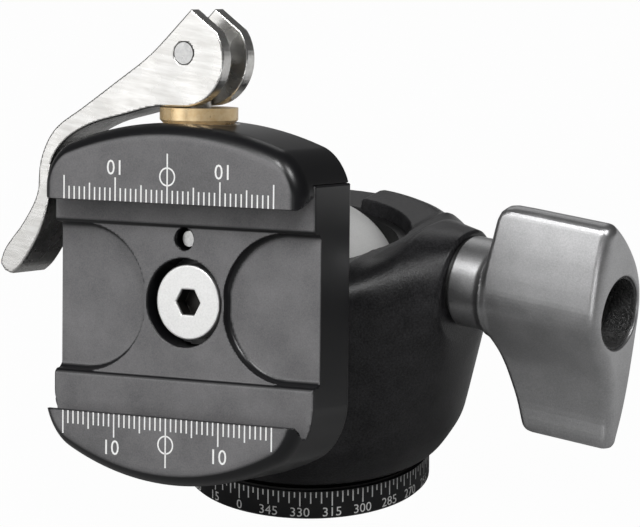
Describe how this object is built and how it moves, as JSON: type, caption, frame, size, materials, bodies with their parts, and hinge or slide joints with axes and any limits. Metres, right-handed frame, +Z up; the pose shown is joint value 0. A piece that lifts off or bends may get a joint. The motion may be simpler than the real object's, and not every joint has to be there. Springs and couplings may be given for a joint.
{
  "type": "tripod ball head",
  "caption": "Ball head with a panning base, a winged locking knob and a lever-release dovetail clamp on its tilting stem.",
  "frame": {"origin": "centre of the tripod thread's mouth, on the flat underside of the panning base", "axes": "+Z up along the pan axis; +X along the main knob's shaft, out of the knob; the stem's notch opens towards -Y"},
  "size_m": [0.0955, 0.0738, 0.0878],
  "materials": {
    "housing": "fine textured powder coat, black",
    "base": "black anodised, satin",
    "clamp": "dark grey anodised, fine blasted",
    "jaw": "black anodised, fine blasted",
    "lever": "polished and lightly scratched",
    "knob": "bead blasted",
    "plug": "black, textured",
    "ball": "satin anodised, light grey",
    "stem": "turned, satin",
    "steel": "turned",
    "bronze": "turned bronze",
    "polymer": "natural bearing polymer",
    "ring": "black bearing polymer",
    "screw": "bright plated"
  },
  "bodies": {
    "base": {"panning_base": "base", "thread_insert": "steel", "pan_bearing_washer": "ring", "pan_retaining_washer": "steel", "retaining_screws": "steel"},
    "housing": {"housing": "housing", "seat_spring_washer": "steel", "lower_ball_seat": "polymer", "upper_ball_ring": "ring", "shaft_bushing": "bronze", "knob_thrust_washer": "polymer"},
    "brake_shoe": {"brake_shoe": "polymer"},
    "main_knob": {"main_knob": "knob", "knob_shaft": "steel", "knob_end_plug": "plug"},
    "pan_lock": {"pan_lock_knob": "base", "pan_lock_screw": "steel"},
    "pan_lock_shoe": {"pan_lock_shoe": "bronze"},
    "ball": {"ball": "ball"},
    "platform": {"ball_stem": "stem", "clamp_body": "clamp", "jaw_guide_pins": "steel", "jaw_springs": "steel", "pull_rod": "steel", "clamp_screw": "screw", "antitwist_pin": "steel"},
    "jaw": {"moving_jaw": "jaw", "cam_washer": "bronze"},
    "lever": {"cam_lever": "lever", "lever_pin": "steel"}
  },
  "joints": [
    {"name": "pan", "type": "hinge", "parent": "base", "child": "housing", "pos_m": [0, 0, 0.009], "axis": [0, 0, 1], "continuous": true},
    {"name": "main_knob", "type": "hinge", "parent": "housing", "child": "main_knob", "pos_m": [0.04, 0, 0.041], "axis": [1, 0, 0], "range_deg": [0, 120]},
    {"name": "brake_shoe", "type": "slide", "parent": "housing", "child": "brake_shoe", "axis": [1, 0, 0], "range_m": [0, 0.000417]},
    {"name": "pan_lock", "type": "hinge", "parent": "housing", "child": "pan_lock", "pos_m": [-0.028, 0, 0.009], "axis": [-1, 0, 0], "range_deg": [0, 180.02]},
    {"name": "pan_lock_shoe", "type": "slide", "parent": "housing", "child": "pan_lock_shoe", "axis": [-1, 0, 0], "range_m": [0, 0.0004]},
    {"name": "ball_tilt", "type": "hinge", "parent": "housing", "child": "ball", "pos_m": [0, 0, 0.03363], "axis": [1, 0, 0], "range_deg": [-110, 13]},
    {"name": "clamp_spin", "type": "hinge", "parent": "ball", "child": "platform", "pos_m": [0, 0, 0.03363], "axis": [0, -0.9744, 0.225], "continuous": true},
    {"name": "jaw_slide", "type": "slide", "parent": "platform", "child": "jaw", "axis": [-0.1357, 0.2229, 0.9654], "range_m": [0, 0.0018]},
    {"name": "lever", "type": "hinge", "parent": "platform", "child": "lever", "pos_m": [-0.00542, -0.02409, 0.07976], "axis": [0, 0.9744, -0.225], "range_deg": [0, 145.01]}
  ],
  "couplings": [
    {"joint": "brake_shoe", "follows": "main_knob", "m_per_rad": 0.00019894},
    {"joint": "pan_lock", "follows": "pan_lock_shoe", "rad_per_m": 7854},
    {"joint": "lever", "follows": "jaw_slide", "rad_per_m": 1406}
  ]
}
